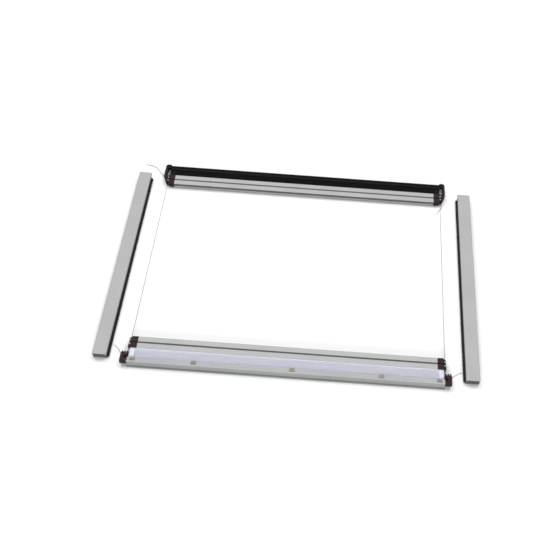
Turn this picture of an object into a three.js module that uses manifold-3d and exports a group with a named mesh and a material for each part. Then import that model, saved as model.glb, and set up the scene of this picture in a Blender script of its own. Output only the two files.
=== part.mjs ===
// A pleated blackout blind and insect screen kit, laid out flat: two fixed profiles with their brackets,
// two sliding bars on taut guide cords, two pleated fabrics and two loose side rails.
// Millimetres. +X runs along the bars, +Y away from the blackout side, +Z up.
import * as THREE from 'three';
import { mergeVertices } from 'three/addons/utils/BufferGeometryUtils.js';
import Module from 'manifold-3d';

const wasm = await Module();
wasm.setup();

// ---- driving dimensions -------------------------------------------------------------------------
const kitWidth = 1000;        // over the outer faces of the brackets
const kitDepth = 799;         // between the outer faces of the two fixed profiles
const profileHeight = 23.5;
const profileDepth = 17;      // the ledge on top of a fixed profile
const profileWall = 1.6;
const stepWidth = 12;         // the step along the ledge's fabric side, where the clips sit
const stepDrop = 2.2;
const flangeWidth = 7.5;      // the screw flange outside each fixed profile
const flangeThickness = 2.4;
const flangeHole = 4.4;       // diameter of a screw hole in the flange
const flangeHoleShares = [-0.943, -0.3, 0.3, 0.943]; // places of the holes, as shares of half a profile
const grooveDepth = 1.2;      // decorative grooves along the profile's outer face
const grooveHalf = 1.2;       // half the height of such a groove
const upperGroove = 19.3;     // their heights
const lowerGroove = 10;
const ledgeCorner = 1.6;      // radius of the ledge's outer edge
const flangeCorner = 0.8;
const bracketLength = 20.7;    // each bracket, along X
const lowerBracketDepth = 33; // along Y, without its fingers
const bracketRise = 0.5;      // how far the lower bracket stands over the ledge
const bracketBottom = 1.5;    // both brackets clear the table by this much
const noseBottom = 11;        // the lower bracket's front is cut away under this height
const noseDepth = 5;
const noseDrop = 6;           // how far the nose's underside slopes down to its back
const bracketSlope = 4;       // the slope down at the lower bracket's inner end
const bracketProud = 1;       // how far a bracket stands outside its profile
const fingerLength = 6;
const fingerRoot = 3;         // how deep a finger runs into the bracket
const fingerBottom = 8;
const fingerTop = 18;
const innerFinger = 5.5;      // widths of the finger beside the profile and of the two outer ones
const outerFinger = 4.5;
const fingerGap = 2.5;        // between the two outer fingers
const pocketSize = 7;         // the square pocket in the lower bracket's top
const pocketFloor = 17;
const hookDepth = 7.5;        // how far the upper bracket's back wall reaches behind the profile
const hookCorner = 4.5;       // the cut corner of that back wall
const armInset = 1.5;         // the upper bracket is this much narrower than the lower one
const armWall = 8;            // the upper bracket's arm beside the profile, along X
const armShoulder = 4;        // the arm gets thicker this far past the bar's fabric side
const armTaper = 10;          // it tapers from this far past it
const armShort = 7.2;         // and ends this far short of the bar's leading face
const armTip = 1.9;           // its width at the tip
const tongueDepth = 3;        // the upper bracket's tongue in the profile's hollow
const tongueHeight = 5;
const backAnchor = 4;         // how far a guide cord runs into the upper bracket's back wall
const blackoutStack = 33;     // the folded blackout pleats, along Y
const screenStack = 23;       // the folded screen pleats, along Y
const barDepth = 40;
const barHeight = 18.3;
const barLift = 2.2;          // a bar runs this far over the table
const barWall = 1.6;
const slotWidth = 6;          // the groove along the middle of a bar's top
const slotDepth = 4.5;
const sealHeight = 9.5;       // the strip let into a bar's leading face
const sealDepth = 1.4;
const sealDrop = 1.8;         // from the bar's top down to that strip
const blockInset = 15.8;      // from a bracket's outer face in to the end block's outer face
const blockLength = 26.1;     // a bar's end block, along X
const blockCorner = 9;        // the cut corner of an end block
const blockProud = 0.5;       // how far an end block stands over its bar
const pinchHalf = 2.5;        // the pinch halfway along a block's outer face
const pinchDepth = 1.4;
const blockNotch = 3;         // the notch across an end block's top, along Y
const blockNotchDepth = 2.2;
const cordInset = 18.4;       // from a bracket's outer face in to the guide cord
const cordRadius = 0.7;
const cordHeight = 10;
const cordHole = 3;         // diameter of the way through an end block
const anchorDepth = 7;        // how far a guide cord runs into a bracket
const railWidth = 42;
const railHeight = 24;
const railLength = 740;
const railWall = 1.8;
const railLip = 9.5;          // how far the rail's inner lip hangs down
const railSealThickness = 1.8; // the black seal's backing under that lip
const railSealBottom = 5;
const finReach = 7;           // the seal's fin, which sticks out of the rail's mouth
const finThickness = 2.4;
const sealFarInset = 12;      // where the seal stops short of the rail's ends
const sealNearInset = 2;
const railGap = 43.5;         // from a bracket's outer face to the laid-out rail
const railShift = -11;        // the rails lie a little towards the blackout side
const clipLength = 16;
const clipDepth = 12;
const clipThickness = 1.6;
const clipInset = 1;          // from the step's edge to a clip
const clipRibDepth = 1.4;
const clipRibRise = 0.6;
const clipShares = [-0.982, -0.591, 0.039, 0.61, 0.982]; // along half a profile
const screwHead = 4;          // diameter of the small round heads on an end block
const screwHeadHeight = 1.0;
const screwShank = 2.4;
const screwLength = 3.4;
const screwShares = [0.32, 0.64]; // the screws' places across a bar
const screwInset = 0.6;       // from the guide cord's line inward to the screws
const plugRoot = 2;           // how far a plug runs into the piece that carries it
const armRise = 1;            // how far the upper bracket stands over the bar
const stripRise = 2;          // the groove strip's top, over the groove's floor
const sealProud = 0.2;        // how far a bar's seal stands out of its leading face
const fabricLift = 2;         // the folded fabric's underside, over the bar's
const fabricDrop = 1.5;       // and its top, under the bar's
// ---- rounded corners ----------------------------------------------------------------------------
const sharpEdge = 0.5;        // metal edges that are only eased
const softEdge = 1;           // the moulded pieces' inner corners
const barFoot = 0.8;          // a bar's lower edges
const barShoulder = 1.4;      // a bar's and a rail's outer edges
const railMouthEdge = 0.9;
const ledgeEdge = 1.8;        // the lower bracket's front edge
const bracketBack = 1.5;      // its back edges and its fingers' tips
const bracketFoot = 0.6;
const hookEdge = 1.2;
const armEdge = 3;            // the upper bracket's outer corners
const blockEdge = 2;          // the end blocks' and the clips' outer corners
const mouldedEase = 0.7;      // the easing along a moulded piece's upper and lower edges
const clipEase = 0.3;
// ---- clearances ---------------------------------------------------------------------------------
const gap = 0.3;              // between pieces that touch or are pressed together
const slide = 1.0;            // under and beside what slides
const plugLength = 10;
const curveSegments = 4;      // straight pieces in each rounded corner
const roundSides = 16;        // sides of a screw hole in a flange
const boreSides = 12;         // of a bore or a screw's shank
const headSides = 20;         // of a screw's head
const cordSides = 8;
const tailSteps = 26;         // lengths that a cord tail is bent from
const past = 1;               // a cut runs this far past the surface it opens

// ---- places that follow from them ---------------------------------------------------------------
const halfWidth = kitWidth / 2;
const halfDepth = kitDepth / 2;
const profileEnd = halfWidth - bracketLength;
const fabricEnd = profileEnd - slide;
const cordX = halfWidth - cordInset;
const blockOuter = halfWidth - blockInset;
const blockInner = blockOuter - blockLength;
const ledge = profileHeight;
const anchorHole = 2 * (cordRadius + gap);
const stepIn = profileDepth - stepWidth;                 // where the ledge steps down to the clips
const stepZ = ledge - stepDrop;
const flyDepth = profileDepth + gap;                     // where the fabric starts, counted inward
const hollowStart = grooveDepth + profileWall;           // the profile's hollow, which the brackets plug
const hollowEnd = profileDepth - profileWall;
const hollowTop = stepZ - profileWall;
const blackoutBarStart = flyDepth + blackoutStack + gap; // the bar's fabric side, counted inward
const screenBarStart = flyDepth + screenStack + gap;
const barBottom = barLift;
const barTop = barBottom + barHeight;
const slotFloor = barTop - slotDepth;

const looks = {
  silver: { color: 0xbfc0c2, roughness: 0.38, metalness: 0.85 },
  black: { color: 0x161616, roughness: 0.45, metalness: 0.4 },
  dark: { color: 0x35262a, roughness: 0.55, metalness: 0 },
  groove: { color: 0x4b4c4f, roughness: 0.7, metalness: 0 },
  seal: { color: 0x5f5a5c, roughness: 0.8, metalness: 0 },
  railSeal: { color: 0x141414, roughness: 0.9, metalness: 0 },
  blackout: { color: 0xc8c8d2, roughness: 0.85, metalness: 0 },
  screen: { color: 0x121212, roughness: 0.9, metalness: 0 },
  clip: { color: 0xa5917d, roughness: 0.5, metalness: 0 },
  screw: { color: 0xb9b6b2, roughness: 0.35, metalness: 0.8 },
  cord: { color: 0xb4b2ae, roughness: 0.8, metalness: 0 },
};

const kit = new THREE.Group();

function addMesh(name, geometry, look) {
  const mesh = new THREE.Mesh(geometry, new THREE.MeshStandardMaterial(looks[look]));
  mesh.name = name;
  kit.add(mesh);
}

// ---- shapes and booleans ------------------------------------------------------------------------
function toSolid(geometry) {
  const bare = geometry.clone();
  bare.deleteAttribute('normal');
  bare.deleteAttribute('uv');
  const merged = mergeVertices(bare, 1e-4);
  return new wasm.Manifold(new wasm.Mesh({
    numProp: 3,
    vertProperties: new Float32Array(merged.attributes.position.array),
    triVerts: new Uint32Array(merged.index.array),
  }));
}

function toGeometry(solid) {
  const mesh = solid.getMesh();
  const geometry = new THREE.BufferGeometry();
  geometry.setAttribute('position', new THREE.BufferAttribute(new Float32Array(mesh.vertProperties), 3));
  geometry.setIndex(new THREE.BufferAttribute(new Uint32Array(mesh.triVerts), 1));
  geometry.computeVertexNormals();
  return geometry;
}

// A closed outline through the points. A point's third value rounds its corner by that radius.
function outlineShape(points) {
  const shape = new THREE.Shape();
  points.forEach(([a, b, radius = 0], i) => {
    const corner = new THREE.Vector2(a, b);
    if (radius === 0) {
      shape[i === 0 ? 'moveTo' : 'lineTo'](a, b);
      return;
    }
    const before = points[(i + points.length - 1) % points.length];
    const after = points[(i + 1) % points.length];
    const towards = (point) => new THREE.Vector2(point[0], point[1]).sub(corner).setLength(radius).add(corner);
    const start = towards(before);
    const finish = towards(after);
    shape[i === 0 ? 'moveTo' : 'lineTo'](start.x, start.y);
    shape.quadraticCurveTo(a, b, finish.x, finish.y);
  });
  shape.closePath();
  return shape;
}

// A section drawn as [y, z] points, run along X.
function alongX(points, x0, x1) {
  const shape = outlineShape(points);
  const geometry = new THREE.ExtrudeGeometry(shape, { depth: x1 - x0, bevelEnabled: false, curveSegments });
  const turn = new THREE.Matrix4().set(0, 0, 1, x0, 1, 0, 0, 0, 0, 1, 0, 0, 0, 0, 0, 1);
  return toSolid(geometry.applyMatrix4(turn));
}

// An outline drawn as [x, y] points, raised from z0 to z1, with its upper and lower edges eased.
function upwards(points, z0, z1, ease = mouldedEase) {
  const geometry = new THREE.ExtrudeGeometry(outlineShape(points), {
    depth: z1 - z0 - 2 * ease,
    bevelThickness: ease,
    bevelSize: ease,
    bevelOffset: -ease,
    bevelSegments: 2,
    curveSegments,
  });
  return toSolid(geometry.translate(0, 0, z0 + ease));
}

function box(x0, x1, y0, y1, z0, z1) {
  const geometry = new THREE.BoxGeometry(Math.abs(x1 - x0), Math.abs(y1 - y0), z1 - z0);
  return toSolid(geometry.translate((x0 + x1) / 2, (y0 + y1) / 2, (z0 + z1) / 2));
}

function cylinderAlong(axis, diameter, length, x, y, z, sides) {
  const geometry = new THREE.CylinderGeometry(diameter / 2, diameter / 2, length, sides);
  if (axis === 'x') geometry.rotateZ(Math.PI / 2);
  if (axis === 'z') geometry.rotateX(Math.PI / 2);
  return toSolid(geometry.translate(x, y, z));
}

// Each assembly is drawn by how far inward, from its profile's outer face, a point lies.
function inwardFrom(end) {
  return (inward) => end * (halfDepth - inward);
}

// ---- fixed profiles -----------------------------------------------------------------------------
function fixedProfile(end) {
  const at = inwardFrom(end);
  const groove = (z) => [
    [0, z + grooveHalf], [grooveDepth, z + grooveHalf], [grooveDepth, z - grooveHalf], [0, z - grooveHalf]];
  const outline = [
    [-flangeWidth, 0],
    [profileDepth, 0],
    [profileDepth, stepZ],
    [stepIn, stepZ],
    [stepIn, ledge, sharpEdge],
    [0, ledge, ledgeCorner],
    ...groove(upperGroove),
    ...groove(lowerGroove),
    [0, flangeThickness, flangeCorner],
    [-flangeWidth, flangeThickness, flangeCorner],
  ];
  const body = alongX(outline.map(([u, z, r]) => [at(u), z, r]), -profileEnd, profileEnd);
  const inner = box(-halfWidth, halfWidth, at(hollowStart), at(hollowEnd), profileWall, hollowTop);
  let profile = body.subtract(inner);
  for (const share of flangeHoleShares) {
    profile = profile.subtract(
      cylinderAlong('z', flangeHole, 4 * flangeThickness, share * profileEnd, at(-flangeWidth / 2), 0,
        roundSides));
  }
  return profile;
}

function profilePlug(end, side) {
  const at = inwardFrom(end);
  return box(side * (profileEnd - plugLength), side * (profileEnd + plugRoot), at(hollowStart + gap),
    at(hollowEnd - gap), profileWall + gap, hollowTop - gap);
}

// ---- brackets -----------------------------------------------------------------------------------
function lowerBracket(side) {
  const at = inwardFrom(-1);
  const inner = profileEnd + gap;
  const top = ledge + bracketRise;
  const outline = [
    [-bracketProud, top, ledgeEdge], [-bracketProud, noseBottom, softEdge],
    [noseDepth, noseBottom - noseDrop, softEdge], [noseDepth, bracketBottom],
    [lowerBracketDepth, bracketBottom, bracketFoot],
    [lowerBracketDepth, top - bracketSlope, bracketBack],
    [lowerBracketDepth - bracketSlope, top, bracketBack],
  ];
  let bracket = alongX(outline.map(([u, z, r]) => [at(u), z, r]),
    side > 0 ? inner : -halfWidth, side > 0 ? halfWidth : -inner);
  const outerStart = halfWidth - outerFinger;
  const fingers = [[inner, inner + innerFinger], [outerStart, halfWidth],
    [outerStart - fingerGap - outerFinger, outerStart - fingerGap]];
  for (const [from, to] of fingers) {
    const tip = lowerBracketDepth + fingerLength;
    const root = lowerBracketDepth - fingerRoot;
    const finger = [[from, root], [to, root], [to, tip, bracketBack], [from, tip, bracketBack]];
    bracket = bracket.add(
      upwards(finger.map(([x, u, r]) => [side * x, at(u), r]), fingerBottom, fingerTop));
  }
  const middle = lowerBracketDepth / 2;
  const pocket = box(side * cordX, side * (cordX + pocketSize), at(middle - pocketSize / 2),
    at(middle + pocketSize / 2), pocketFloor, top + past);
  const anchor = cylinderAlong('y', anchorHole, 2 * (anchorDepth + slide), side * cordX,
    at(lowerBracketDepth), cordHeight, boreSides);
  return bracket.subtract(pocket).subtract(anchor).add(profilePlug(-1, side));
}

// Seen from above it is a C: a back wall behind the profile's end, and an arm that reaches along the end
// block. Between the arm and the profile's end it is open.
function upperBracket(side) {
  const at = inwardFrom(1);
  const inner = profileEnd + gap;
  const armInner = blockOuter + slide;
  const armOuter = halfWidth - armInset;
  const slotOuter = armOuter - armWall;
  const shoulder = screenBarStart + armShoulder;
  const armEnd = screenBarStart + barDepth - armShort;
  const outline = [
    [inner, -bracketProud], [inner, -hookDepth, hookEdge],
    [armOuter - hookCorner, -hookDepth, armEdge], [armOuter, 0, armEdge],
    [armOuter, screenBarStart + armTaper, armEdge], [armInner + armTip, armEnd],
    [armInner, armEnd], [armInner, shoulder, softEdge], [slotOuter, shoulder, softEdge],
    [slotOuter, -bracketProud, softEdge],
  ];
  const bracket = upwards(outline.map(([x, u, r]) => [side * x, at(u), r]), bracketBottom,
    barTop + armRise);
  const tongueStart = hollowStart + gap;
  const tongue = box(side * (profileEnd - plugLength), side * (slotOuter + gap), at(tongueStart),
    at(tongueStart + tongueDepth), hollowTop - gap - tongueHeight, hollowTop - gap);
  const anchor = cylinderAlong('y', anchorHole, 2 * (backAnchor + slide), side * cordX,
    at(-bracketProud), cordHeight, boreSides);
  return bracket.add(tongue).subtract(anchor);
}

// ---- sliding bars -------------------------------------------------------------------------------
// A bar is drawn by the distance v from its fabric side; start is that side's place, counted inward.
function slidingBar(end, start) {
  const at = (v) => inwardFrom(end)(start + v);
  const middle = barDepth / 2;
  const sealTop = barTop - sealDrop;
  const outline = [
    [0, barBottom, barFoot], [barDepth, barBottom, barFoot],
    [barDepth, sealTop - sealHeight], [barDepth - sealDepth, sealTop - sealHeight],
    [barDepth - sealDepth, sealTop], [barDepth, sealTop],
    [barDepth, barTop, barShoulder],
    [middle + slotWidth / 2, barTop, sharpEdge], [middle + slotWidth / 2, slotFloor],
    [middle - slotWidth / 2, slotFloor], [middle - slotWidth / 2, barTop, sharpEdge],
    [0, barTop, barShoulder],
  ];
  let bar = alongX(outline.map(([v, z, r]) => [at(v), z, r]), -blockInner + gap, blockInner - gap);
  for (const [v0, v1] of barHollows()) {
    bar = bar.subtract(box(-halfWidth, halfWidth, at(v0), at(v1), barBottom + barWall, hollowCeiling));
  }
  return bar;
}

const hollowCeiling = slotFloor - barWall;

function barHollows() {
  const middle = barDepth / 2;
  return [
    [barWall, middle - barWall / 2],
    [middle + barWall / 2, barDepth - sealDepth - barWall],
  ];
}

function grooveStrip(end, start) {
  const at = (v) => inwardFrom(end)(start + v);
  const half = slotWidth / 2 - gap;
  return box(-blockInner + gap, blockInner - gap, at(barDepth / 2 - half), at(barDepth / 2 + half),
    slotFloor + gap, slotFloor + stripRise);
}

function barSeal(end, start) {
  const at = (v) => inwardFrom(end)(start + v);
  const top = barTop - sealDrop - gap;
  return box(-blockInner + gap, blockInner - gap, at(barDepth - sealDepth + gap), at(barDepth + sealProud),
    top - sealHeight + 2 * gap, top);
}

function screwPlaces(end, start, side) {
  return screwShares.map((share) => [
    side * (cordX - screwInset), inwardFrom(end)(start + share * barDepth)]);
}

function endBlock(end, start, side) {
  const at = (v) => inwardFrom(end)(start + v);
  const middle = barDepth / 2;
  const outline = [
    [blockInner, 0], [blockOuter, 0, blockEdge],
    [blockOuter, middle - pinchHalf, softEdge], [blockOuter - pinchDepth, middle, softEdge],
    [blockOuter, middle + pinchHalf, softEdge],
    [blockOuter, barDepth - blockCorner, blockEdge], [blockOuter - blockCorner, barDepth, blockEdge],
    [blockInner, barDepth],
  ];
  const top = barTop + blockProud;
  let block = upwards(outline.map(([x, v, r]) => [side * x, at(v), r]), barBottom, top);
  const notch = blockNotch / 2;
  block = block.subtract(box(0, side * halfWidth, at(middle - notch), at(middle + notch),
    top - blockNotchDepth, top + past));
  for (const [v0, v1] of barHollows()) {
    block = block.add(box(side * (blockInner - plugLength), side * (blockInner + plugRoot), at(v0 + gap),
      at(v1 - gap), barBottom + barWall + gap, hollowCeiling - gap));
  }
  block = block.subtract(
    cylinderAlong('y', cordHole, barDepth * 2, side * cordX, at(middle), cordHeight,
      boreSides));
  for (const [x, y] of screwPlaces(end, start, side)) {
    block = block.subtract(cylinderAlong('z', screwShank + 2 * gap, 2 * (screwLength + gap), x, y,
      top, boreSides));
  }
  return block;
}

function blockScrew(x, y) {
  const seat = barTop + blockProud + gap;
  const head = cylinderAlong('z', screwHead, screwHeadHeight, x, y, seat + screwHeadHeight / 2,
    headSides);
  const shank = cylinderAlong('z', screwShank, screwLength, x, y, seat - screwLength / 2 + gap,
    boreSides);
  return head.add(shank);
}

// ---- clips --------------------------------------------------------------------------------------
// A flat clip with a raised rib, which lies on the step and reaches over the fabric's first fold.
function fabricClip(x, at, seat) {
  const start = stepIn + clipInset;
  const from = at(start);
  const to = at(start + clipDepth);
  const half = clipLength / 2;
  const top = seat + clipThickness;
  const plate = upwards([[x - half, from], [x + half, from], [x + half, to, blockEdge],
    [x - half, to, blockEdge]], seat, top, clipEase);
  const rib = box(x - half + clipInset, x + half - clipInset, at(start + clipInset),
    at(start + clipInset + clipRibDepth), seat + clipThickness / 2, top + clipRibRise);
  return plate.add(rib);
}

// ---- side rails ---------------------------------------------------------------------------------
const railMouth = halfWidth + railGap;
const railFrom = railShift - railLength / 2;
const railTo = railShift + railLength / 2;

function sideRail(side) {
  const outline = [
    [railMouth, 0, sharpEdge], [railMouth + railWidth, 0, barShoulder],
    [railMouth + railWidth, railHeight, barShoulder], [railMouth, railHeight, railMouthEdge],
    [railMouth, railHeight - railLip, sharpEdge],
    [railMouth + railWall, railHeight - railLip], [railMouth + railWall, railHeight - railWall],
    [railMouth + railWidth - railWall, railHeight - railWall],
    [railMouth + railWidth - railWall, railWall], [railMouth, railWall],
  ];
  const shape = outlineShape(outline.map(([x, z, r]) => [side * x, z, r]));
  const geometry = new THREE.ExtrudeGeometry(shape, { depth: railLength, bevelEnabled: false, curveSegments });
  return geometry.rotateX(Math.PI / 2).translate(0, railTo, 0);
}

// The seal's backing stands in the rail's mouth, and its fin sticks out of it.
function railSeal(side) {
  const from = railFrom + sealNearInset;
  const to = railTo - sealFarInset;
  const backing = box(side * railMouth, side * (railMouth + railSealThickness), from, to,
    railSealBottom, railHeight - railLip - gap);
  const fin = box(side * (railMouth - finReach), side * (railMouth + railSealThickness), from, to,
    railSealBottom, railSealBottom + finThickness);
  return backing.add(fin);
}

// ---- cords --------------------------------------------------------------------------------------
function tube(points, radius, sides, steps) {
  const path = new THREE.CatmullRomCurve3(points.map((p) => new THREE.Vector3(...p)), false, 'centripetal');
  const ring = [];
  for (let i = 0; i < sides; i += 1) {
    const turn = (2 * Math.PI * i) / sides;
    ring.push(new THREE.Vector2(radius * Math.cos(turn), radius * Math.sin(turn)));
  }
  return new THREE.ExtrudeGeometry(new THREE.Shape(ring), { steps, extrudePath: path, bevelEnabled: false });
}

function guideCord(side) {
  const from = inwardFrom(-1)(lowerBracketDepth - anchorDepth);
  const to = inwardFrom(1)(-bracketProud - backAnchor);
  return cylinderAlong('y', 2 * cordRadius, to - from, side * cordX, (from + to) / 2, cordHeight,
    cordSides);
}

// The loose ends of the guide cords, each a short length left outside its bracket.
const cordTails = {
  cord_tail_upper_left: [
    [-499.6, 360.8, 3.4], [-504, 365.5, 3.4], [-514.5, 379, 3.2], [-526, 393, 2.4], [-535, 403, 1.4],
    [-544, 410, 0.8], [-559.5, 415, 0.75], [-577, 416.5, 0.75]],
  cord_tail_upper_right: [
    [486.3, 325.4, 2.9], [487.4, 321.5, 1.9], [488.2, 316.5, 0.9], [486.6, 308, 0.75], [481, 300, 0.75],
    [475.5, 291, 0.75], [470, 280, 0.75]],
  cord_tail_lower_left: [
    [-500.8, -369, 3.4], [-505, -362.5, 3.4], [-513.5, -350.5, 3.4], [-521, -342, 3.4], [-530, -334, 3.4]],
  cord_tail_lower_right: [
    [500.8, -370, 3.4], [505.5, -364, 3.4], [513, -357, 3.4], [525.5, -349, 3.4], [536, -344.5, 3.4]],
};

// ---- the kit ------------------------------------------------------------------------------------
const sides = [['left', -1], ['right', 1]];
const ends = [
  { end: -1, profile: 'lower', bar: 'blackout', fabric: 'blackout', body: 'silver', stack: blackoutStack,
    start: blackoutBarStart, bracket: lowerBracket },
  { end: 1, profile: 'upper', bar: 'screen', fabric: 'screen', body: 'black', stack: screenStack,
    start: screenBarStart, bracket: upperBracket },
];

for (const { end, profile, bar, fabric, body, stack, start, bracket } of ends) {
  const at = inwardFrom(end);
  addMesh(`${profile}_profile`, toGeometry(fixedProfile(end)), body);
  addMesh(`${fabric}_fabric`, toGeometry(box(-fabricEnd, fabricEnd, at(flyDepth), at(flyDepth + stack),
    barBottom + fabricLift, barTop - fabricDrop)), fabric);
  addMesh(`${bar}_bar`, toGeometry(slidingBar(end, start)), 'silver');
  addMesh(`${bar}_bar_groove_strip`, toGeometry(grooveStrip(end, start)), 'groove');
  addMesh(`${bar}_bar_seal`, toGeometry(barSeal(end, start)), 'seal');
  for (const [sideName, side] of sides) {
    addMesh(`${profile}_bracket_${sideName}`, toGeometry(bracket(side)), 'dark');
    addMesh(`${bar}_block_${sideName}`, toGeometry(endBlock(end, start, side)), 'dark');
    screwPlaces(end, start, side).forEach(([x, y], i) => {
      addMesh(`${bar}_block_screw_${sideName}_${i + 1}`, toGeometry(blockScrew(x, y)), 'screw');
    });
  }
}

// Clips that hold the blackout fabric down along the lower profile's ledge.
clipShares.forEach((share, i) => {
  const at = inwardFrom(-1);
  const x = share * (profileEnd - clipLength / 2);
  const seat = stepZ + gap;
  addMesh(`fabric_clip_${i + 1}`, toGeometry(fabricClip(x, at, seat)), 'clip');
});

for (const [sideName, side] of sides) {
  addMesh(`side_rail_${sideName}`, sideRail(side), 'silver');
  addMesh(`rail_seal_${sideName}`, toGeometry(railSeal(side)), 'railSeal');
  addMesh(`guide_cord_${sideName}`, toGeometry(guideCord(side)), 'cord');
}

for (const [name, points] of Object.entries(cordTails)) {
  addMesh(name, tube(points, cordRadius, cordSides, tailSteps), 'cord');
}

export default kit;
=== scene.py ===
# %% [markdown]
# # A pleated blind kit, laid out flat
#
# A pale blackout fabric is folded up at the near end and a black insect screen at the far end. Each
# hangs between a fixed aluminium profile and a pull bar, and the two pull bars slide on two taut
# guide cords. Two loose side rails lie beside them. The frame already holds every hard part at its
# real size, so this lesson gives those parts their finishes and builds what a solid can't show: the
# folds of the two fabrics, the pile of the rail seals, the screw heads and the loose cord ends.

# %% Load the frame
import math

import bmesh
import bpy
from mathutils import Euler, Matrix, Vector


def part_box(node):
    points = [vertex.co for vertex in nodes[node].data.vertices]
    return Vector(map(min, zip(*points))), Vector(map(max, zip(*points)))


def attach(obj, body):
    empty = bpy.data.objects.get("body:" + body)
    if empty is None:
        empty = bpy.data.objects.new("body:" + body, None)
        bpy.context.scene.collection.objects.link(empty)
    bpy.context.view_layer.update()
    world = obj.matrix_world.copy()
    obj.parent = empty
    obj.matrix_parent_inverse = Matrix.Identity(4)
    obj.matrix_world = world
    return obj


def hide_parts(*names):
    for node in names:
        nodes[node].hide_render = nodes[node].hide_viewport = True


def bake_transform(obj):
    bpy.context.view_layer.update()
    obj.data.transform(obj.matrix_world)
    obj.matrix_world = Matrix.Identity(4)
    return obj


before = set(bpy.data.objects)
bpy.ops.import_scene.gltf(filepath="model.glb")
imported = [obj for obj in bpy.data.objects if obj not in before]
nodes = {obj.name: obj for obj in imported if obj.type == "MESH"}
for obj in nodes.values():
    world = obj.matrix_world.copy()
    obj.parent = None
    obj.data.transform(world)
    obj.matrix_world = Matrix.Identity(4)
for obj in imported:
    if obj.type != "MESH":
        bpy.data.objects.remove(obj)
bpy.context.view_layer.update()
MM = 0.001

# %% [markdown]
# ## The camera
#
# A camera is easiest to place by its pitch: start from one that looks along +Y, tip it down, then
# roll it about its own axis. The roll makes the bars run a little downhill to the right. The small
# sideways shift keeps the long sides' vanishing point to the right of the middle, which a turn of
# the camera would not do.

# %% Camera
PITCH = math.radians(54.42)
ROLL = math.radians(4.12)
camera_data = bpy.data.cameras.new("camera")
camera_data.sensor_width = 36.0
camera_data.lens = 52.36
camera_data.shift_x = -0.096
camera_data.clip_end = 60.0
camera = bpy.data.objects.new("camera", camera_data)
turn = Euler((math.pi / 2 - PITCH, 0, 0)).to_matrix() @ Matrix.Rotation(ROLL, 3, "Z")
camera.matrix_world = Matrix.Translation((0.105, -1.547, 2.144)) @ turn.to_4x4()
bpy.context.collection.objects.link(camera)
bpy.context.scene.camera = camera
print("camera looks down by", round(math.degrees(PITCH), 1), "degrees")

# %% [markdown]
# ## Floor and light
#
# A large lamp gives a shadow that fades gradually, and a high one keeps each bar from shading the
# folded fabric beside it. A third, weaker lamp in front lights the faces that are turned to the
# viewer.

# %% Floor, sky and lamps
FLOOR_SIZE = 14.0


def make_floor():
    mesh = bpy.data.meshes.new("floor")
    half = FLOOR_SIZE / 2
    corners = [(-half, -half, 0), (half, -half, 0), (half, half, 0), (-half, half, 0)]
    mesh.from_pydata(corners, [], [(0, 1, 2, 3)])
    floor = bpy.data.objects.new("floor", mesh)
    bpy.context.collection.objects.link(floor)
    material = bpy.data.materials.new("white table")
    material.use_nodes = True
    shader = material.node_tree.nodes["Principled BSDF"]
    shader.inputs["Base Color"].default_value = (0.68, 0.68, 0.68, 1)
    shader.inputs["Roughness"].default_value = 0.8
    shader.inputs["Specular IOR Level"].default_value = 0.1
    mesh.materials.append(material)
    return floor


def make_lamp(name, place, target, size, power):
    data = bpy.data.lights.new(name, "AREA")
    data.shape = "DISK"
    data.size = size
    data.energy = power
    lamp = bpy.data.objects.new(name, data)
    aim = Vector(target) - Vector(place)
    lamp.matrix_world = Matrix.Translation(place) @ aim.to_track_quat("-Z", "Y").to_matrix().to_4x4()
    bpy.context.collection.objects.link(lamp)


make_floor()
make_lamp("lamp behind left", (-2.1, 2.1, 4.6), (-0.2, 0, 0), 4.2, 235)
make_lamp("lamp behind right", (2.1, 2.1, 4.6), (0.2, 0, 0), 4.2, 235)
make_lamp("lamp in front", (0.0, -4.2, 1.2), (0, 0, 0), 2.4, 190)
world = bpy.data.worlds.new("white sky")
bpy.context.scene.world = world
world.use_nodes = True
world.node_tree.nodes["Background"].inputs["Color"].default_value = (1.0, 1.0, 1.0, 1)
world.node_tree.nodes["Background"].inputs["Strength"].default_value = 0.3
bpy.context.scene.view_settings.view_transform = "Standard"

# %% [markdown]
# ## Building node trees
#
# Every finish below is a small node tree. Writing `tree.nodes.new` and `tree.links.new` for each node
# hides what the tree does, so a short helper makes a node, sets its plain values and plugs in its
# inputs in one call.

# %% Node helper


def add(tree, kind, values=None, **settings):
    """A new node. values maps an input's name or number to a plain value or to another node's output."""
    node = tree.nodes.new(kind)
    for key, value in settings.items():
        setattr(node, key, value)
    for key, value in (values or {}).items():
        if isinstance(value, bpy.types.NodeSocket):
            tree.links.new(value, node.inputs[key])
        else:
            node.inputs[key].default_value = value
    return node


def math_node(tree, operation, a, b=None, c=None):
    values = {i: v for i, v in enumerate((a, b, c)) if v is not None}
    return add(tree, "ShaderNodeMath", values, operation=operation).outputs[0]


def new_group(name, kind, inputs, outputs):
    """A node group with named sockets: inputs as (name, type, default), outputs as (name, type)."""
    group = bpy.data.node_groups.new(name, kind)
    for socket_name, socket_type, default in inputs:
        socket = group.interface.new_socket(socket_name, in_out="INPUT", socket_type=socket_type)
        if default is not None:
            socket.default_value = default
    for socket_name, socket_type in outputs:
        group.interface.new_socket(socket_name, in_out="OUTPUT", socket_type=socket_type)
    return group, group.nodes.new("NodeGroupInput"), group.nodes.new("NodeGroupOutput")


# %% [markdown]
# ## Shared surface effects
#
# Four effects turn up on several finishes, so each is a node group built once. *Edge wear and
# highlight* finds edges by comparing the true surface direction with a softened one; on metal its
# mask marks worn edges, on plastic it marks rubbed wear together with a painted highlight. *Drawn
# lines* are the fine lines that a die leaves along an extruded profile. *Moulded grain* is the fine
# texture of plastic. *Thread* is the over and under of woven yarn. A group only puts out masks and
# heights; the shader stays in each material.

# %% Edge wear and highlight


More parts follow.
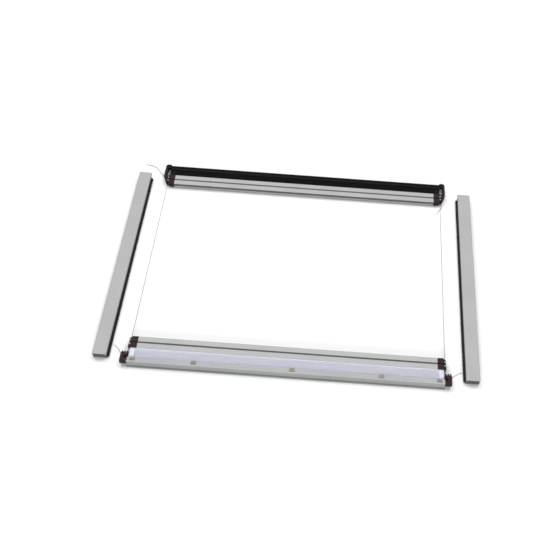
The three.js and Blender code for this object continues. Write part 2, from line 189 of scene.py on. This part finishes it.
def build_edge_wear_and_highlight():
    group, given, out = new_group("Edge wear and highlight", "ShaderNodeTree", [
        ("Radius", "NodeSocketFloat", 0.0006), ("Breakup scale", "NodeSocketFloat", 300.0)],
        [("Mask", "NodeSocketFloat"), ("Soft normal", "NodeSocketVector")])
    soft = add(group, "ShaderNodeBevel", {"Radius": given.outputs["Radius"]}, samples=4)
    true = add(group, "ShaderNodeNewGeometry")
    alike = add(group, "ShaderNodeVectorMath", {0: soft.outputs[0], 1: true.outputs["True Normal"]},
        operation="DOT_PRODUCT")
    edge = add(group, "ShaderNodeMapRange", {0: alike.outputs["Value"], 1: 0.995, 2: 0.86, 3: 0.0, 4: 1.0})
    place = add(group, "ShaderNodeTexCoord")
    noise = add(group, "ShaderNodeTexNoise", {
        "Vector": place.outputs["Object"], "Scale": given.outputs["Breakup scale"], "Detail": 3.0})
    broken = add(group, "ShaderNodeMapRange", {0: noise.outputs[0], 1: 0.38, 2: 0.62, 3: 0.25, 4: 1.0})
    # the edge mask: worn edges on metal, rubbed wear with a painted highlight on plastic
    mask = math_node(group, "MULTIPLY", edge.outputs[0], broken.outputs[0])
    group.links.new(mask, out.inputs["Mask"])
    group.links.new(soft.outputs[0], out.inputs["Soft normal"])
    return group


edge_wear_and_highlight = build_edge_wear_and_highlight()

# %% Drawn lines


def build_drawn_lines():
    group, given, out = new_group("Drawn lines", "ShaderNodeTree", [
        ("Stretch", "NodeSocketVector", (4.0, 900.0, 900.0)), ("Cloud scale", "NodeSocketFloat", 9.0)],
        [("Lines", "NodeSocketFloat"), ("Clouds", "NodeSocketFloat")])
    place = add(group, "ShaderNodeTexCoord")
    stretched = add(group, "ShaderNodeVectorMath", {0: place.outputs["Object"], 1: given.outputs["Stretch"]},
        operation="MULTIPLY")
    lines = add(group, "ShaderNodeTexNoise", {"Vector": stretched.outputs[0], "Scale": 1.0, "Detail": 2.0})
    clouds = add(group, "ShaderNodeTexNoise", {
        "Vector": place.outputs["Object"], "Scale": given.outputs["Cloud scale"], "Detail": 4.0})
    group.links.new(lines.outputs[0], out.inputs["Lines"])
    group.links.new(clouds.outputs[0], out.inputs["Clouds"])
    return group


drawn_lines = build_drawn_lines()

# %% Moulded grain


def build_moulded_grain():
    group, given, out = new_group("Moulded grain", "ShaderNodeTree", [
        ("Grain scale", "NodeSocketFloat", 1400.0), ("Smudge scale", "NodeSocketFloat", 45.0)],
        [("Height", "NodeSocketFloat"), ("Smudge", "NodeSocketFloat")])
    place = add(group, "ShaderNodeTexCoord")
    grain = add(group, "ShaderNodeTexVoronoi", {
        "Vector": place.outputs["Object"], "Scale": given.outputs["Grain scale"]})
    smudge = add(group, "ShaderNodeTexNoise", {
        "Vector": place.outputs["Object"], "Scale": given.outputs["Smudge scale"], "Detail": 5.0})
    group.links.new(grain.outputs["Distance"], out.inputs["Height"])
    group.links.new(smudge.outputs[0], out.inputs["Smudge"])
    return group


moulded_grain = build_moulded_grain()

# %% Thread


def build_thread():
    group, given, out = new_group("Thread", "ShaderNodeTree", [
        ("Along", "NodeSocketFloat", 5000.0), ("Across", "NodeSocketFloat", 5000.0)],
        [("Height", "NodeSocketFloat"), ("Slub", "NodeSocketFloat")])
    place = add(group, "ShaderNodeUVMap")
    parts = add(group, "ShaderNodeSeparateXYZ", {0: place.outputs[0]})
    warp = math_node(group, "SINE", math_node(group, "MULTIPLY", parts.outputs[0], given.outputs["Along"]))
    weft = math_node(group, "SINE", math_node(group, "MULTIPLY", parts.outputs[1], given.outputs["Across"]))
    both = math_node(group, "MULTIPLY_ADD", math_node(group, "MULTIPLY", warp, weft), 0.5, 0.5)
    slub_place = add(group, "ShaderNodeVectorMath", {0: place.outputs[0], 1: (30.0, 900.0, 1.0)},
        operation="MULTIPLY")
    slub = add(group, "ShaderNodeTexNoise", {"Vector": slub_place.outputs[0], "Scale": 1.0, "Detail": 3.0})
    group.links.new(both, out.inputs["Height"])
    group.links.new(slub.outputs[0], out.inputs["Slub"])
    return group


thread = build_thread()
print("groups:", [g.name for g in bpy.data.node_groups])

# %% [markdown]
# ## Finishes
#
# Each finish is one material with one Principled shader. Colours that vary over the surface come from
# a mix driven by a group's mask; numbers that don't vary are typed into the shader's own sockets.

# %% Material helpers


def new_material(name):
    material = bpy.data.materials.new(name)
    material.use_nodes = True
    tree = material.node_tree
    return material, tree, tree.nodes["Principled BSDF"]


def use_group(tree, group, **values):
    node = add(tree, "ShaderNodeGroup", node_tree=group)
    for key, value in values.items():
        node.inputs[key.replace("_", " ")].default_value = value
    return node


def mix_colours(tree, mask, first, second):
    node = add(tree, "ShaderNodeMix", {0: mask}, data_type="RGBA")
    for socket, value in ((node.inputs[6], first), (node.inputs[7], second)):
        if isinstance(value, bpy.types.NodeSocket):
            tree.links.new(value, socket)
        else:
            socket.default_value = (*value, 1)
    return node.outputs[2]


def spread_value(tree, mask, low, high):
    return add(tree, "ShaderNodeMapRange", {0: mask, 1: 0.3, 2: 0.7, 3: low, 4: high}).outputs[0]


def bump(tree, height, distance, strength, normal=None):
    values = {"Height": height, "Distance": distance, "Strength": strength}
    if normal is not None:
        values["Normal"] = normal
    return add(tree, "ShaderNodeBump", values).outputs[0]


# %% [markdown]
# ### Extruded aluminium
#
# The bars, rails and fixed profiles are drawn through a die, then anodised to a satin silver or
# painted black. The lines run along X on the bars and profiles and along Y on the rails, so the
# stretch is a value of the material.

# %% Extruded metal


def extruded_metal(name, colour, worn, stretch, roughness, metallic, gloss=0.35):
    material, tree, shader = new_material(name)
    lines = use_group(tree, drawn_lines, Stretch=stretch)
    edge_mask = use_group(tree, edge_wear_and_highlight, Radius=0.0005)
    darker = tuple(c * 0.90 for c in colour)
    body = mix_colours(tree, spread_value(tree, lines.outputs["Clouds"], 0.0, 1.0), darker, colour)
    lined = mix_colours(tree, spread_value(tree, lines.outputs["Lines"], 0.0, 0.45), body,
        tuple(min(1.0, c * 1.08) for c in colour))
    tree.links.new(mix_colours(tree, edge_mask.outputs["Mask"], lined, worn), shader.inputs["Base Color"])
    tree.links.new(spread_value(tree, lines.outputs["Lines"], roughness, roughness + 0.1),
        shader.inputs["Roughness"])
    shader.inputs["Metallic"].default_value = metallic
    shader.inputs["Specular IOR Level"].default_value = gloss
    tree.links.new(bump(tree, lines.outputs["Lines"], 0.00004, 0.5, edge_mask.outputs["Soft normal"]),
        shader.inputs["Normal"])
    return material


ALONG_X = (3.0, 1300.0, 1300.0)
ALONG_Y = (1300.0, 3.0, 1300.0)
silver_bar = extruded_metal("anodised silver, bars", (0.275, 0.278, 0.282), (0.36, 0.36, 0.36),
    ALONG_X, 0.5, 0.2)
silver_rail = extruded_metal("anodised silver, rails", (0.272, 0.272, 0.274), (0.36, 0.36, 0.36),
    ALONG_Y, 0.55, 0.2)
black_profile = extruded_metal("black profile", (0.005, 0.005, 0.0055), (0.03, 0.03, 0.03),
    ALONG_X, 0.6, 0.0, gloss=0.05)

# %% [markdown]
# ### Moulded plastic
#
# The brackets and end blocks are a dark brown-black moulded plastic. Plastic rubs shiny and pale at its
# edges, and holds finger marks, so the edge mask lightens it and the smudges change its roughness.
# The lighter edge is partly that rubbed wear and partly a painted highlight.

# %% Moulded plastic


def moulded_plastic(name, colour, rubbed_and_highlit, roughness, gloss):
    material, tree, shader = new_material(name)
    grain = use_group(tree, moulded_grain)
    edge_mask = use_group(tree, edge_wear_and_highlight, Radius=0.0007)
    body = mix_colours(tree, spread_value(tree, grain.outputs["Smudge"], 0.0, 1.0), colour,
        tuple(c * 1.35 for c in colour))
    # the edge mask paints the edges paler: partly rubbed wear, partly a painted highlight
    tree.links.new(mix_colours(tree, edge_mask.outputs["Mask"], body, rubbed_and_highlit), shader.inputs["Base Color"])
    tree.links.new(spread_value(tree, grain.outputs["Smudge"], roughness + 0.12, roughness),
        shader.inputs["Roughness"])
    shader.inputs["Specular IOR Level"].default_value = gloss
    tree.links.new(bump(tree, grain.outputs["Height"], 0.00005, 0.4, edge_mask.outputs["Soft normal"]),
        shader.inputs["Normal"])
    return material


# each second colour is the paler edge, which is rubbed wear together with a painted highlight
dark_plastic = moulded_plastic("dark brown plastic", (0.011, 0.006, 0.006), (0.035, 0.02, 0.02), 0.42, 0.1)
clip_plastic = moulded_plastic("beige clip plastic", (0.15, 0.132, 0.118), (0.23, 0.205, 0.185), 0.4, 0.25)
groove_plastic = moulded_plastic("dark groove strip", (0.075, 0.068, 0.067), (0.11, 0.105, 0.10), 0.6, 0.25)
seal_rubber = moulded_plastic("brown-grey seal", (0.06, 0.052, 0.05), (0.1, 0.09, 0.085), 0.6, 0.25)
pile_base = moulded_plastic("black pile base", (0.008, 0.008, 0.008), (0.03, 0.03, 0.03), 0.6, 0.15)

# %% [markdown]
# ### Fabrics and cord
#
# The blackout fabric is a coated polyester, pale grey with a touch of lilac and a soft sheen. The
# insect screen is a fine black mesh. Their threads follow the cloth, so both read the cloth's own UV
# map, which is laid out in metres along the window's width and along the unfolded length.

# %% Cloth finishes


def cloth(name, colour, shade, roughness, sheen, along, across, height):
    material, tree, shader = new_material(name)
    weave = use_group(tree, thread, Along=along, Across=across)
    slubbed = mix_colours(tree, spread_value(tree, weave.outputs["Slub"], 0.0, 1.0), shade, colour)
    tree.links.new(slubbed, shader.inputs["Base Color"])
    shader.inputs["Roughness"].default_value = roughness
    shader.inputs["Sheen Weight"].default_value = sheen
    shader.inputs["Sheen Roughness"].default_value = 0.4
    shader.inputs["Specular IOR Level"].default_value = 0.2
    tree.links.new(bump(tree, weave.outputs["Height"], height, 0.35), shader.inputs["Normal"])
    return material


blackout_cloth = cloth("blackout fabric", (0.84, 0.84, 0.91), (0.78, 0.78, 0.85), 0.85, 0.05,
    9000.0, 9000.0, 0.00003)
screen_cloth = cloth("insect screen mesh", (0.007, 0.007, 0.007), (0.004, 0.004, 0.004), 0.8, 0.0,
    4200.0, 4200.0, 0.00008)

# %% Braided cord


def braided_cord(name, colour, shade):
    material, tree, shader = new_material(name)
    place = add(tree, "ShaderNodeTexCoord")
    strands = add(tree, "ShaderNodeTexWave", {
        "Vector": place.outputs["Object"], "Scale": 900.0, "Distortion": 1.5}, bands_direction="DIAGONAL")
    tree.links.new(mix_colours(tree, strands.outputs["Fac"], shade, colour), shader.inputs["Base Color"])
    shader.inputs["Roughness"].default_value = 0.8
    tree.links.new(bump(tree, strands.outputs["Fac"], 0.00015, 0.6), shader.inputs["Normal"])
    return material


guide_cord_weave = braided_cord("grey guide cord", (0.07, 0.066, 0.062), (0.035, 0.033, 0.031))
cord_end_weave = braided_cord("grey cord end", (0.06, 0.055, 0.052), (0.03, 0.028, 0.026))
print("materials:", len(bpy.data.materials))

# %% Screw steel


def plain_steel():
    material, tree, shader = new_material("screw steel")
    grain = use_group(tree, moulded_grain, Grain_scale=2200.0, Smudge_scale=300.0)
    tree.links.new(mix_colours(tree, grain.outputs["Smudge"], (0.42, 0.41, 0.39), (0.6, 0.59, 0.57)),
        shader.inputs["Base Color"])
    tree.links.new(spread_value(tree, grain.outputs["Smudge"], 0.28, 0.45), shader.inputs["Roughness"])
    shader.inputs["Metallic"].default_value = 0.9
    tree.links.new(bump(tree, grain.outputs["Height"], 0.00002, 0.3), shader.inputs["Normal"])
    return material


screw_steel = plain_steel()

# %% [markdown]
# ## Finishing the frame's own parts
#
# A part whose shape is already right keeps its mesh and only gets its finish. The part's name says which
# finish it takes.

# %% Give the hard parts their finishes
FINISHES = [
    ("side_rail", silver_rail), ("upper_profile", black_profile), ("lower_profile", silver_bar),
    ("blackout_bar_groove_strip", groove_plastic), ("screen_bar_groove_strip", groove_plastic),
    ("blackout_bar_seal", seal_rubber), ("screen_bar_seal", seal_rubber),
    ("blackout_bar", silver_bar), ("screen_bar", silver_bar),
    ("lower_bracket", dark_plastic), ("upper_bracket", dark_plastic),
    ("blackout_block", dark_plastic), ("screen_block", dark_plastic),
    ("fabric_clip", clip_plastic), ("guide_cord", guide_cord_weave),
]


def finish_for(name):
    for start, material in FINISHES:
        if name.startswith(start):
            return material
    return None


finished = 0
for name, node in nodes.items():
    material = finish_for(name)
    if material is None:
        continue
    for material_slot in node.material_slots:
        material_slot.material = material
    if not node.material_slots:
        node.data.materials.append(material)
    finished += 1
print("finished", finished, "of", len(nodes), "parts")

# %% [markdown]
# ## Turning a geometry tree into a plain mesh
#
# The pieces below repeat a shape or follow a rule, so Geometry Nodes make them. A tree is run on an
# empty mesh object, its inputs are set by socket identifier, and the result is copied out as a plain
# mesh.

# %% Running a tree


def run_tree(group, name, values):
    """What a geometry tree makes, as a new object at the origin. values maps input names to values."""
    holder = bpy.data.objects.new(name + "_holder", bpy.data.meshes.new(name + "_holder"))
    bpy.context.collection.objects.link(holder)
    modifier = holder.modifiers.new("tree", "NODES")
    modifier.node_group = group
    sockets = {s.name: s.identifier for s in group.interface.items_tree if s.in_out == "INPUT"}
    for key, value in values.items():
        modifier[sockets[key]] = value
    bpy.context.view_layer.update()
    evaluated = holder.evaluated_get(bpy.context.evaluated_depsgraph_get())
    mesh = bpy.data.meshes.new_from_object(evaluated)
    holder.modifiers.clear()
    bpy.data.objects.remove(holder)
    mesh.name = name
    piece = bpy.data.objects.new(name, mesh)
    bpy.context.collection.objects.link(piece)
    return piece


def count_triangles(piece):
    piece.data.calc_loop_triangles()
    return len(piece.data.loop_triangles)


# %% [markdown]
# ## The pleats
#
# A pleated blind is one long cloth creased to and fro. Folded up, its creases lie about a millimetre
# apart; pulled out, they spread evenly. A flat grid makes it: the row number along the cloth gives a
# zigzag height, and the same number gives the place between profile and bar. The frame's blend
# spreads points along an S curve, so equally spaced folds would bunch at the ends when pulled out.
# The rule below places the folds halfway between even and the curve's inverse, which keeps them
# fairly even both folded and pulled out.

# %% Pleat tree
CREASE_SHARPNESS = 0.7
NOISE_STEP_PER_FOLD = 7.3


def build_pleats():
    group, given, out = new_group("Pleats", "GeometryNodeTree", [
        ("Width", "NodeSocketFloat", 0.94), ("Depth", "NodeSocketFloat", 0.033),
        ("Height", "NodeSocketFloat", 0.015), ("Legs", "NodeSocketInt", 48),
        ("Rows", "NodeSocketInt", 289), ("Columns", "NodeSocketInt", 64),
        ("Start", "NodeSocketVector", (0, 0, 0)), ("Direction", "NodeSocketFloat", 1.0),
        ("Unevenness", "NodeSocketFloat", 0.0003), ("Material", "NodeSocketMaterial", None)],
        [("Geometry", "NodeSocketGeometry")])
    grid = add(group, "GeometryNodeMeshGrid", {
        "Size X": given.outputs["Width"], "Size Y": 1.0,
        "Vertices X": given.outputs["Columns"], "Vertices Y": given.outputs["Rows"]})
    place = add(group, "GeometryNodeInputPosition")
    parts = add(group, "ShaderNodeSeparateXYZ", {0: place.outputs[0]})
    share = math_node(group, "ADD", parts.outputs[1], 0.5)
    leg = math_node(group, "MULTIPLY", share, given.outputs["Legs"])
    # the zigzag, with its creases a little rounded
    sharp = math_node(group, "PINGPONG", leg, 1.0)
    cosine = math_node(group, "COSINE", math_node(group, "MULTIPLY", leg, math.pi))
    wave = math_node(group, "MULTIPLY_ADD", cosine, -0.5, 0.5)
    zigzag = math_node(group, "ADD", math_node(group, "MULTIPLY", sharp, CREASE_SHARPNESS),
        math_node(group, "MULTIPLY", wave, 1.0 - CREASE_SHARPNESS))
    # the place along the depth: half even, half the inverse of the S curve
    centred = math_node(group, "SUBTRACT", 1.0, math_node(group, "MULTIPLY", share, 2.0))
    third = math_node(group, "DIVIDE", math_node(group, "ARCSINE", centred), 3.0)
    inverse = math_node(group, "SUBTRACT", 0.5, math_node(group, "SINE", third))
    along = math_node(group, "ADD", math_node(group, "MULTIPLY", share, 0.5),
        math_node(group, "MULTIPLY", inverse, 0.5))
    # each crease rises and falls a little by itself along its length
    fold = math_node(group, "FLOOR", math_node(group, "ADD", math_node(group, "MULTIPLY", leg, 0.5), 0.5))
    spot = add(group, "ShaderNodeCombineXYZ", {
        0: parts.outputs[0], 1: math_node(group, "MULTIPLY", fold, NOISE_STEP_PER_FOLD)})
    noise = add(group, "ShaderNodeTexNoise", {"Vector": spot.outputs[0], "Scale": 9.0, "Detail": 2.0})
    wobble = math_node(group, "MULTIPLY", math_node(group, "SUBTRACT", noise.outputs[0], 0.5),
        math_node(group, "MULTIPLY", given.outputs["Unevenness"], 2.0))
    start = add(group, "ShaderNodeSeparateXYZ", {0: given.outputs["Start"]})
    y = math_node(group, "MULTIPLY_ADD", math_node(group, "MULTIPLY", along, given.outputs["Direction"]),
        given.outputs["Depth"], start.outputs[1])
    even_z = math_node(group, "MULTIPLY_ADD", zigzag, given.outputs["Height"], start.outputs[2])
    z = math_node(group, "ADD", even_z, math_node(group, "MULTIPLY", wobble, zigzag))
    x = math_node(group, "ADD", parts.outputs[0], start.outputs[0])
    goal = add(group, "ShaderNodeCombineXYZ", {0: x, 1: y, 2: z})
    flat = add(group, "ShaderNodeCombineXYZ", {
        0: parts.outputs[0],
        1: math_node(group, "MULTIPLY", leg, given.outputs["Height"])})
    named = add(group, "GeometryNodeStoreNamedAttribute", {
        "Geometry": grid.outputs["Mesh"], "Name": "UVMap", "Value": flat.outputs[0]},
        data_type="FLOAT2", domain="CORNER")
    moved = add(group, "GeometryNodeSetPosition", {"Geometry": named.outputs[0], "Position": goal.outputs[0]})
    smooth = add(group, "GeometryNodeSetShadeSmooth", {"Geometry": moved.outputs[0], "Shade Smooth": True})
    real = add(group, "GeometryNodeRealizeInstances", {"Geometry": smooth.outputs[0]})
    dressed = add(group, "GeometryNodeSetMaterial", {
        "Geometry": real.outputs[0], "Material": given.outputs["Material"]})
    group.links.new(dressed.outputs[0], out.inputs["Geometry"])
    return group


pleats = build_pleats()

# %% Make both fabrics
CLOTH_THICKNESS = 0.22 * MM
ROWS_PER_LEG = 5


def make_fabric(node, name, legs, cloth_finish):
    low, high = (Vector(corner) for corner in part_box(node))
    near_side = low.y < 0
    direction = 1.0 if near_side else -1.0
    start_y = low.y if near_side else high.y
    depth = high.y - low.y
    height = high.z - low.z
    clear = 0.3 * MM
    fabric = run_tree(pleats, name, {
        "Width": high.x - low.x - 2 * clear, "Depth": depth, "Height": height - 2 * clear,
        "Legs": legs, "Rows": legs * ROWS_PER_LEG + 1, "Columns": 60,
        "Start": ((low.x + high.x) / 2, start_y, low.z + clear), "Direction": direction,
        "Unevenness": 0.25 * MM, "Material": cloth_finish})
    thick = fabric.modifiers.new("thickness", "SOLIDIFY")
    thick.thickness = CLOTH_THICKNESS
    thick.offset = 0.0
    evaluated = fabric.evaluated_get(bpy.context.evaluated_depsgraph_get())
    solid = bpy.data.meshes.new_from_object(evaluated)
    fabric.modifiers.clear()
    fabric.data = solid
    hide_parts(node)
    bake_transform(fabric)
    print(name, "legs", legs, "cut length", round(legs * height, 3), "m, triangles", count_triangles(fabric))


# each cloth is long enough to reach the other bar when that one is parked
BLACKOUT_LEGS = 47
SCREEN_LEGS = 45
make_fabric("blackout_fabric", "blackout_pleats", BLACKOUT_LEGS, blackout_cloth)
make_fabric("screen_fabric", "screen_pleats", SCREEN_LEGS, screen_cloth)

# %% [markdown]
# ## The pile in the rails' mouths
#
# Each side rail's mouth carries a strip of black pile, like the brush strip of a sliding door. A thin
# backing stands in the mouth, and a low row of short tufts points inward out of it, where the fabric
# will run. One tuft of five sides is instanced on points along the backing. Each leans a little at
# random, with a fixed seed, so that the row comes out the same each time.

# %% Pile tree


def build_pile():
    group, given, out = new_group("Pile", "GeometryNodeTree", [
        ("Start", "NodeSocketVector", (0, 0, 0)), ("End", "NodeSocketVector", (0, 1, 0)),
        ("Count", "NodeSocketInt", 500), ("Tuft length", "NodeSocketFloat", 0.005),
        ("Tuft radius", "NodeSocketFloat", 0.0006), ("Turn", "NodeSocketFloat", 1.5708),
        ("Lean", "NodeSocketFloat", 0.1), ("Seed", "NodeSocketInt", 1),
        ("Material", "NodeSocketMaterial", None)],
        [("Geometry", "NodeSocketGeometry")])
    line = add(group, "GeometryNodeMeshLine", {
        "Count": given.outputs["Count"], "Start Location": given.outputs["Start"],
        "Offset": given.outputs["End"]}, mode="END_POINTS")
    tuft = add(group, "GeometryNodeMeshCone", {
        "Vertices": 5, "Radius Top": math_node(group, "MULTIPLY", given.outputs["Tuft radius"], 0.6),
        "Radius Bottom": given.outputs["Tuft radius"], "Depth": given.outputs["Tuft length"]})
    spread = add(group, "FunctionNodeRandomValue", {"Seed": given.outputs["Seed"]}, data_type="FLOAT")
    spread.inputs[2].default_value = -1.0
    spread.inputs[3].default_value = 1.0
    lean = math_node(group, "MULTIPLY", spread.outputs[1], given.outputs["Lean"])
    turned = add(group, "ShaderNodeCombineXYZ", {0: lean, 1: given.outputs["Turn"]})
    size = add(group, "FunctionNodeRandomValue", {
        2: 0.86, 3: 1.0, "Seed": math_node(group, "ADD", given.outputs["Seed"], 5)}, data_type="FLOAT")
    placed = add(group, "GeometryNodeInstanceOnPoints", {
        "Points": line.outputs["Mesh"], "Instance": tuft.outputs["Mesh"],
        "Rotation": turned.outputs[0], "Scale": size.outputs[1]})
    real = add(group, "GeometryNodeRealizeInstances", {"Geometry": placed.outputs[0]})
    dressed = add(group, "GeometryNodeSetMaterial", {
        "Geometry": real.outputs[0], "Material": given.outputs["Material"]})
    group.links.new(dressed.outputs[0], out.inputs["Geometry"])
    return group


pile_tree = build_pile()


def box_mesh(name, low, high, bevel, material):
    """A box with eased edges as a plain mesh object."""
    mesh = bpy.data.meshes.new(name)
    bm = bmesh.new()
    bmesh.ops.create_cube(bm, size=1.0)
    bmesh.ops.scale(bm, vec=Vector(high) - Vector(low), verts=bm.verts)
    bmesh.ops.translate(bm, vec=(Vector(high) + Vector(low)) / 2, verts=bm.verts)
    bmesh.ops.bevel(bm, geom=bm.edges[:], offset=bevel, segments=2, affect="EDGES", profile=0.5)
    bm.to_mesh(mesh)
    bm.free()
    mesh.materials.append(material)
    piece = bpy.data.objects.new(name, mesh)
    bpy.context.collection.objects.link(piece)
    return piece


# %% Make both seals
BACKING_THICKNESS = 1.8 * MM
FIN_THICKNESS = 2.4 * MM
TUFT_STEP = 1.1 * MM
for side_name, side in (("left", -1), ("right", 1)):
    low, high = (Vector(corner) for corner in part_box("rail_seal_" + side_name))
    outer = high.x if side > 0 else low.x
    tip = low.x if side > 0 else high.x
    mouth = outer - side * BACKING_THICKNESS
    backing = box_mesh("seal_backing_" + side_name, (min(mouth, outer), low.y, low.z),
        (max(mouth, outer), high.y, high.z), 0.25 * MM, pile_base)
    root = mouth + side * 0.3 * MM
    tuft_z = low.z + FIN_THICKNESS / 2
    pile = run_tree(pile_tree, "seal_pile_" + side_name, {
        "Start": (root, low.y + TUFT_STEP, tuft_z), "End": (root, high.y - TUFT_STEP, tuft_z),
        "Count": int((high.y - low.y) / TUFT_STEP), "Tuft length": abs(root - tip),
        "Tuft radius": FIN_THICKNESS / 2, "Turn": -side * math.pi / 2, "Lean": 0.06, "Seed": 3,
        "Material": pile_base})
    for piece in (backing, pile):
        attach(piece, "rail_" + side_name)
    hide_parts("rail_seal_" + side_name)
    print("pile", side_name, count_triangles(pile), "triangles")

# %% [markdown]
# ## Screw heads
#
# Each end block has two small round screw heads. The frame holds plain studs there. One detailed
# head, with a domed top and a cross recess, is modelled once and instanced on the places of the
# studs.

# %% One screw head
HEAD_RINGS = 5


def make_screw_mesh(radius, head_height, shank_radius, shank_length):
    """A domed head with a cross recess, its underside at z 0 and its shank below."""
    bm = bmesh.new()
    segments = 24
    rings = []
    for i in range(HEAD_RINGS + 1):
        angle = (math.pi / 2) * i / HEAD_RINGS
        ring_radius = radius * (0.32 + 0.68 * math.cos(angle))
        z = head_height * (0.25 + 0.75 * math.sin(angle))
        rings.append((ring_radius, z))
    profile = [(shank_radius, -shank_length), (shank_radius, 0.0), (radius, 0.0), *rings]
    loops = []
    for ring_radius, z in profile:
        loops.append([bm.verts.new((ring_radius * math.cos(2 * math.pi * k / segments),
            ring_radius * math.sin(2 * math.pi * k / segments), z)) for k in range(segments)])
    for lower, upper in zip(loops, loops[1:]):
        for k in range(segments):
            bm.faces.new((lower[k], lower[(k + 1) % segments], upper[(k + 1) % segments], upper[k]))
    bm.faces.new(list(reversed(loops[0])))
    top = bm.faces.new(loops[-1])
    bmesh.ops.recalc_face_normals(bm, faces=bm.faces[:])
    # the recess: the flat top is cut to a cross and pushed in
    bm.verts.ensure_lookup_table()
    bmesh.ops.poke(bm, faces=[top])
    bm.verts.ensure_lookup_table()
    centre = bm.verts[len(bm.verts) - 1]
    centre.co.z -= head_height * 0.55
    for edge in centre.link_edges:
        other = edge.other_vert(centre)
        angle = math.atan2(other.co.y, other.co.x)
        if abs(math.sin(2 * angle)) < 0.3:
            other.co.z -= head_height * 0.3
    mesh = bpy.data.meshes.new("screw head")
    bm.to_mesh(mesh)
    bm.free()
    return mesh


# %% Screws tree


def build_screws():
    group, given, out = new_group("Screws", "GeometryNodeTree", [
        ("Screw", "NodeSocketObject", None), ("Places", "NodeSocketObject", None),
        ("Seed", "NodeSocketInt", 4), ("Material", "NodeSocketMaterial", None)],
        [("Geometry", "NodeSocketGeometry")])
    screw = add(group, "GeometryNodeObjectInfo", {"Object": given.outputs["Screw"]})
    places = add(group, "GeometryNodeObjectInfo", {"Object": given.outputs["Places"]})
    spin = add(group, "FunctionNodeRandomValue", {"Seed": given.outputs["Seed"]}, data_type="FLOAT_VECTOR")
    spin.inputs[0].default_value = (0, 0, 0)
    spin.inputs[1].default_value = (0, 0, math.pi)
    placed = add(group, "GeometryNodeInstanceOnPoints", {
        "Points": places.outputs["Geometry"], "Instance": screw.outputs["Geometry"],
        "Rotation": spin.outputs[0]})
    real = add(group, "GeometryNodeRealizeInstances", {"Geometry": placed.outputs[0]})
    dressed = add(group, "GeometryNodeSetMaterial", {
        "Geometry": real.outputs[0], "Material": given.outputs["Material"]})
    group.links.new(dressed.outputs[0], out.inputs["Geometry"])
    return group


screws_tree = build_screws()
studs = sorted(n for n in nodes if "block_screw" in n)
low, high = (Vector(corner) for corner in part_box(studs[0]))
HEAD_HEIGHT = 1.0 * MM
head_mesh = make_screw_mesh((high.x - low.x) / 2, HEAD_HEIGHT, 1.2 * MM, high.z - low.z - HEAD_HEIGHT)
head_source = bpy.data.objects.new("screw_source", head_mesh)
bpy.context.collection.objects.link(head_source)
for bar in ("blackout", "screen"):
    mine = [n for n in studs if n.startswith(bar)]
    points = bpy.data.meshes.new("screw places")
    middles = []
    for n in mine:
        low, high = (Vector(corner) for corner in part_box(n))
        middles.append(((low.x + high.x) / 2, (low.y + high.y) / 2, high.z - HEAD_HEIGHT))
    points.from_pydata(middles, [], [])
    spots = bpy.data.objects.new("screw_places", points)
    bpy.context.collection.objects.link(spots)
    heads = run_tree(screws_tree, bar + "_screw_heads", {
        "Screw": head_source, "Places": spots, "Seed": 4, "Material": screw_steel})
    bpy.data.objects.remove(spots)
    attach(heads, bar + "_bar")
    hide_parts(*mine)
    print(bar, "screws", len(mine), "triangles", count_triangles(heads))
bpy.data.objects.remove(head_source)

# %% [markdown]
# ## Loose cord ends
#
# Where a guide cord is tied off in its bracket, a short end is left over. Each is a thin braided cord
# on a smooth curve through listed points. The points are the ones the frame's own cord ends
# follow, here in metres.

# %% Cord ends
CORD_DIAMETER = 1.4 * MM
CORD_ROUTES = {
    "cord_tail_upper_left": [
        (-0.4996, 0.3608, 0.0034), (-0.504, 0.3655, 0.0034), (-0.5145, 0.379, 0.0032),
        (-0.526, 0.393, 0.0024), (-0.535, 0.403, 0.0014), (-0.544, 0.41, 0.0008),
        (-0.5595, 0.415, 0.00075), (-0.577, 0.4165, 0.00075)],
    "cord_tail_upper_right": [
        (0.4863, 0.3254, 0.0029), (0.4874, 0.3215, 0.0019), (0.4882, 0.3165, 0.0009),
        (0.4866, 0.308, 0.00075), (0.481, 0.3, 0.00075), (0.4755, 0.291, 0.00075),
        (0.47, 0.28, 0.00075)],
    "cord_tail_lower_left": [
        (-0.5008, -0.369, 0.0034), (-0.505, -0.3625, 0.0034), (-0.5135, -0.3505, 0.0034),
        (-0.521, -0.342, 0.0034), (-0.53, -0.334, 0.0034)],
    "cord_tail_lower_right": [
        (0.5008, -0.37, 0.0034), (0.5055, -0.364, 0.0034), (0.513, -0.357, 0.0034),
        (0.5255, -0.349, 0.0034), (0.536, -0.3445, 0.0034)],
}


def smooth_path(points, per_span=6):
    """A Catmull-Rom line through the points, with the ends kept."""
    given = [Vector(p) for p in points]
    padded = [2 * given[0] - given[1], *given, 2 * given[-1] - given[-2]]
    line = []
    for a, b, c, d in zip(padded, padded[1:], padded[2:], padded[3:]):
        for i in range(per_span):
            t = i / per_span
            line.append(0.5 * ((2 * b) + (c - a) * t + (2 * a - 5 * b + 4 * c - d) * t * t
                + (3 * b - a - 3 * c + d) * t ** 3))
    line.append(given[-1])
    return line


def make_cord(name, line, radius, material):
    curve = bpy.data.curves.new(name, "CURVE")
    curve.dimensions = "3D"
    spline = curve.splines.new("POLY")
    spline.points.add(len(line) - 1)
    for point, place in zip(spline.points, line):
        point.co = (*place, 1)
    curve.bevel_depth = radius
    curve.bevel_resolution = 3
    curve.use_fill_caps = True
    curve.materials.append(material)
    piece = bpy.data.objects.new(name, curve)
    bpy.context.collection.objects.link(piece)
    return piece


def length_of(line):
    return sum((b - a).length for a, b in zip(line, line[1:]))


for name, route in CORD_ROUTES.items():
    line = smooth_path(route)
    tail = make_cord(name.replace("cord_tail", "cord_end"), line, CORD_DIAMETER / 2, cord_end_weave)
    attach(tail, "frame")
    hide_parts(name)
    print(name, "length", round(length_of(line) * 1000, 1), "mm")
